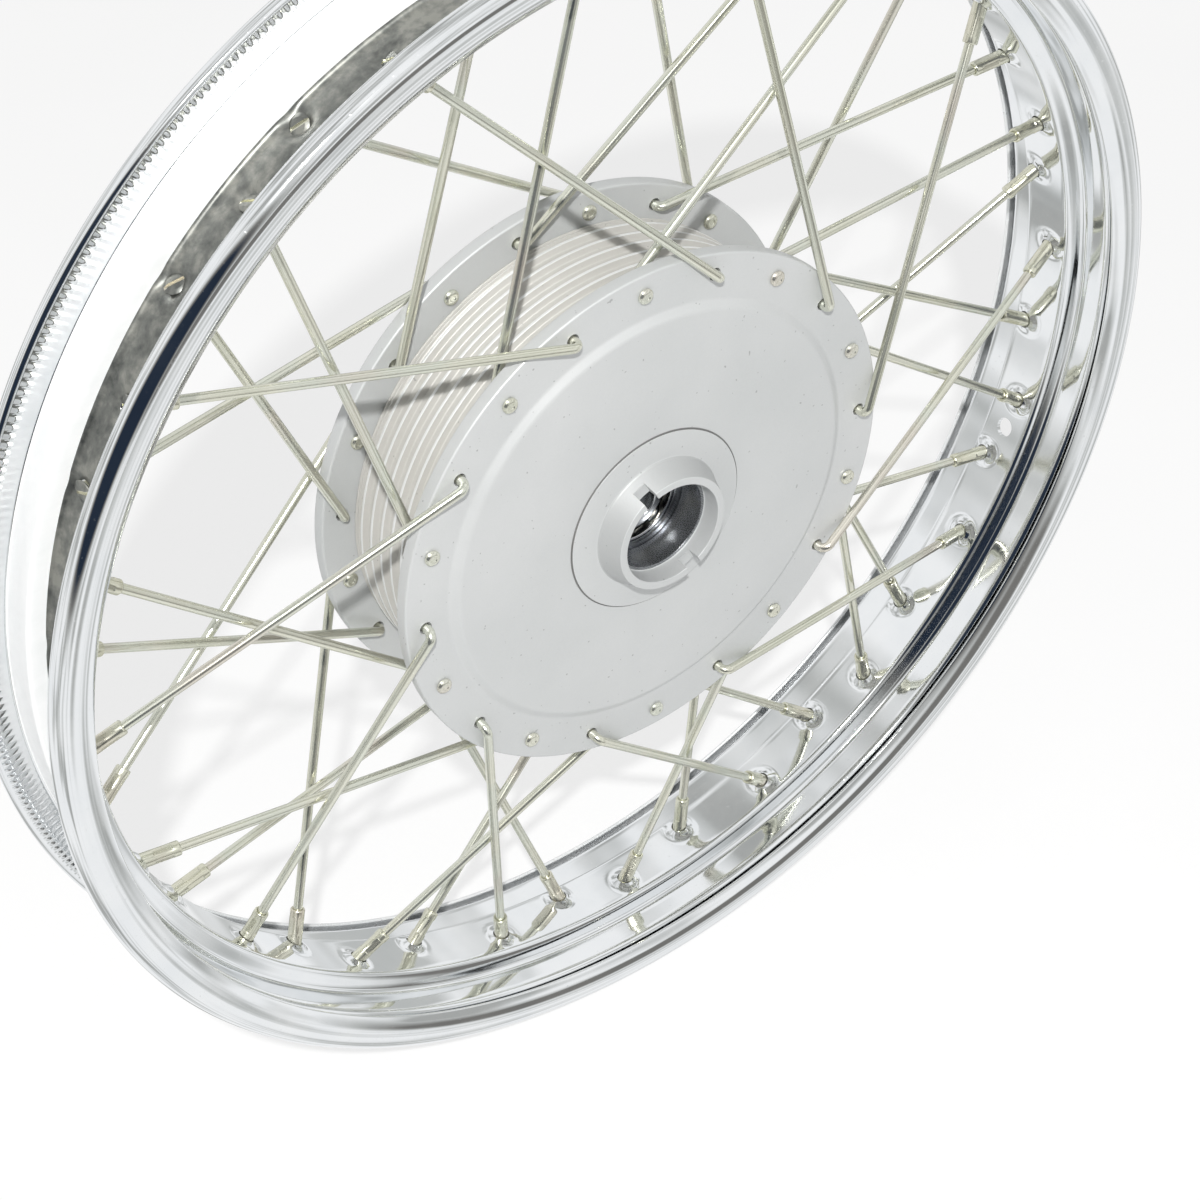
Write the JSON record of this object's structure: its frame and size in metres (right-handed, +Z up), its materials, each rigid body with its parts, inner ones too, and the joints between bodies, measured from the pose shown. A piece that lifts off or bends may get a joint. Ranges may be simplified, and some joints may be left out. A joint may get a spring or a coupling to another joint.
{
  "type": "spoked wheel",
  "caption": "Laced motorcycle wheel: chrome drop-centre rim, closed full-width drum hub with ball bearings, crossed bent spokes and nipples.",
  "frame": {"origin": "on the spin axis, half way between the mouth of the near boss and the elbows of the far outer spokes, which are the two ends of the wheel", "axes": "+Y along the spin axis from the closed hub face to the open brake side, +Z up, +X to the right when looking along +Y"},
  "size_m": [0.5106, 0.083, 0.5106],
  "materials": {
    "chrome_rim": "bright chrome plate, duller inside the tyre channel",
    "cast_alloy": "fine blasted casting with machined edges",
    "cast_iron": "machined friction face",
    "zinc_spoke": "zinc plate with a faint yellow-green passivation",
    "bearing_steel": "ground steel",
    "cage_steel": "pressed steel",
    "spring_steel": "blued spring steel"
  },
  "bodies": {
    "axle_core": {"near_bearing_inner_race": "bearing_steel", "far_bearing_inner_race": "bearing_steel", "spacer_tube": "bearing_steel"},
    "wheel": {"brake_ring": "cast_iron", "far_bearing_outer_race": "bearing_steel", "far_inner_spoke_1": "zinc_spoke", "far_inner_spoke_2": "zinc_spoke", "far_inner_spoke_3": "zinc_spoke", "far_inner_spoke_4": "zinc_spoke", "far_inner_spoke_5": "zinc_spoke", "far_inner_spoke_6": "zinc_spoke", "far_inner_spoke_7": "zinc_spoke", "far_inner_spoke_8": "zinc_spoke", "far_inner_spoke_9": "zinc_spoke", "far_inner_spoke_10": "zinc_spoke", "far_outer_spoke_1": "zinc_spoke", "far_outer_spoke_2": "zinc_spoke", "far_outer_spoke_3": "zinc_spoke", "far_outer_spoke_4": "zinc_spoke", "far_outer_spoke_5": "zinc_spoke", "far_outer_spoke_6": "zinc_spoke", "far_outer_spoke_7": "zinc_spoke", "far_outer_spoke_8": "zinc_spoke", "far_outer_spoke_9": "zinc_spoke", "far_outer_spoke_10": "zinc_spoke", "far_retaining_ring": "spring_steel", "hub_shell": "cast_alloy", "near_bearing_outer_race": "bearing_steel", "near_inner_spoke_1": "zinc_spoke", "near_inner_spoke_2": "zinc_spoke", "near_inner_spoke_3": "zinc_spoke", "near_inner_spoke_4": "zinc_spoke", "near_inner_spoke_5": "zinc_spoke", "near_inner_spoke_6": "zinc_spoke", "near_inner_spoke_7": "zinc_spoke", "near_inner_spoke_8": "zinc_spoke", "near_inner_spoke_9": "zinc_spoke", "near_inner_spoke_10": "zinc_spoke", "near_outer_spoke_1": "zinc_spoke", "near_outer_spoke_2": "zinc_spoke", "near_outer_spoke_3": "zinc_spoke", "near_outer_spoke_4": "zinc_spoke", "near_outer_spoke_5": "zinc_spoke", "near_outer_spoke_6": "zinc_spoke", "near_outer_spoke_7": "zinc_spoke", "near_outer_spoke_8": "zinc_spoke", "near_outer_spoke_9": "zinc_spoke", "near_outer_spoke_10": "zinc_spoke", "near_retaining_ring": "spring_steel", "rim": "chrome_rim"},
    "near_cage": {"near_ball_cage": "cage_steel"},
    "far_cage": {"far_ball_cage": "cage_steel"}
  },
  "joints": [
    {"name": "wheel_spin", "type": "hinge", "parent": "axle_core", "child": "wheel", "pos_m": [0, 0, 0], "axis": [0, 1, 0], "continuous": true},
    {"name": "near_cage_spin", "type": "hinge", "parent": "axle_core", "child": "near_cage", "pos_m": [0, 0, 0], "axis": [0, 1, 0], "continuous": true},
    {"name": "far_cage_spin", "type": "hinge", "parent": "axle_core", "child": "far_cage", "pos_m": [0, 0, 0], "axis": [0, 1, 0], "continuous": true}
  ],
  "couplings": [
    {"joint": "near_cage_spin", "follows": "wheel_spin", "ratio": 0.6193},
    {"joint": "far_cage_spin", "follows": "wheel_spin", "ratio": 0.6193}
  ]
}
